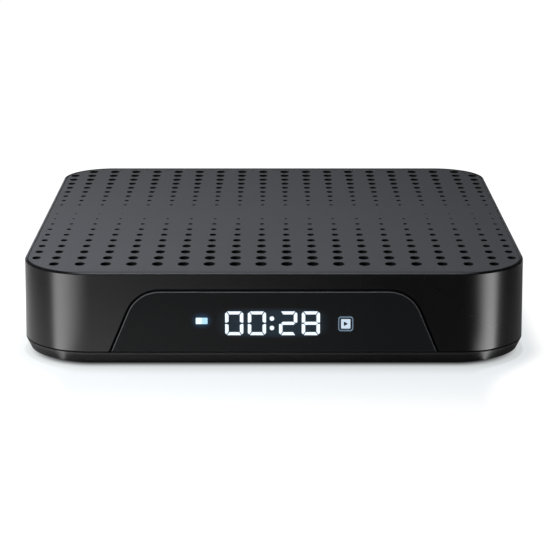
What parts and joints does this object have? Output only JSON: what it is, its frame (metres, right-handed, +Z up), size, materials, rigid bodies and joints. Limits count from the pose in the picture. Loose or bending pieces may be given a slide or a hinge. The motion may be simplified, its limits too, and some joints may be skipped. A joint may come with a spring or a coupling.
{
  "type": "streaming box",
  "caption": "Square set-top streaming box with a perforated lid, gloss shell, smoked clock window, rear and side sockets and rubber feet.",
  "frame": {"origin": "middle of the underside, at the height of the table that the feet stand on", "axes": "+Z up, -Y out of the front with the display window, +X to the right seen from the front"},
  "size_m": [0.105, 0.105, 0.02],
  "materials": {
    "gloss_shell": "polished black, with soft reflections",
    "matte_lid": "fine matte texture, dark grey",
    "smoked_window": "smoked clear plastic, polished",
    "base_plastic": "satin black",
    "rubber": "matte black",
    "screw_steel": "black zinc",
    "circuit_board": "green solder mask",
    "display_block": "dark face with pale diffusers",
    "chip_package": "moulded epoxy",
    "thermal_pad": "soft silicone",
    "heatsink_metal": "extruded, plain",
    "socket_metal": "tin plated sheet",
    "socket_moulding": "black moulding",
    "contact_comb": "gold plated contacts on a black carrier",
    "antenna_strip": "flexible strip with a copper track",
    "lead_jacket": "thin coaxial jacket",
    "button_cap": "dark red moulding"
  },
  "bodies": {
    "case": {"housing": "gloss_shell", "top_panel": "matte_lid", "front_window": "smoked_window", "base_cover": "base_plastic", "foot_front_left": "rubber", "foot_front_right": "rubber", "foot_rear_left": "rubber", "foot_rear_right": "rubber", "case_screw_front_left": "screw_steel", "case_screw_front_right": "screw_steel", "case_screw_rear_left": "screw_steel", "case_screw_rear_right": "screw_steel", "board_screw_front_left": "screw_steel", "board_screw_front_right": "screw_steel", "board_screw_rear_left": "screw_steel", "board_screw_rear_right": "screw_steel", "main_board": "circuit_board", "display_board": "circuit_board", "display_module": "display_block", "ir_receiver": "socket_moulding", "soc_chip": "chip_package", "memory_chip_1": "chip_package", "memory_chip_2": "chip_package", "flash_chip": "chip_package", "thermal_pad": "thermal_pad", "heatsink": "heatsink_metal", "wifi_module": "socket_metal", "antenna": "antenna_strip", "antenna_lead": "lead_jacket", "input_capacitor": "heatsink_metal", "power_choke": "chip_package", "hdmi_shell": "socket_metal", "hdmi_insert": "socket_moulding", "usb_shell_1": "socket_metal", "usb_insert_1": "socket_moulding", "usb_shell_2": "socket_metal", "usb_insert_2": "socket_moulding", "microsd_slot": "socket_metal", "ethernet_jack": "socket_metal", "ethernet_contacts": "contact_comb", "av_jack": "socket_moulding", "dc_power_jack": "socket_moulding", "dc_centre_pin": "socket_metal", "recovery_switch": "socket_moulding"},
    "recovery_button": {"recovery_button": "button_cap"}
  },
  "joints": [
    {"name": "recovery_press", "type": "slide", "parent": "case", "child": "recovery_button", "axis": [0, -1, 0], "range_m": [0, 0.00025], "stiffness_N_per_m": 6000}
  ]
}
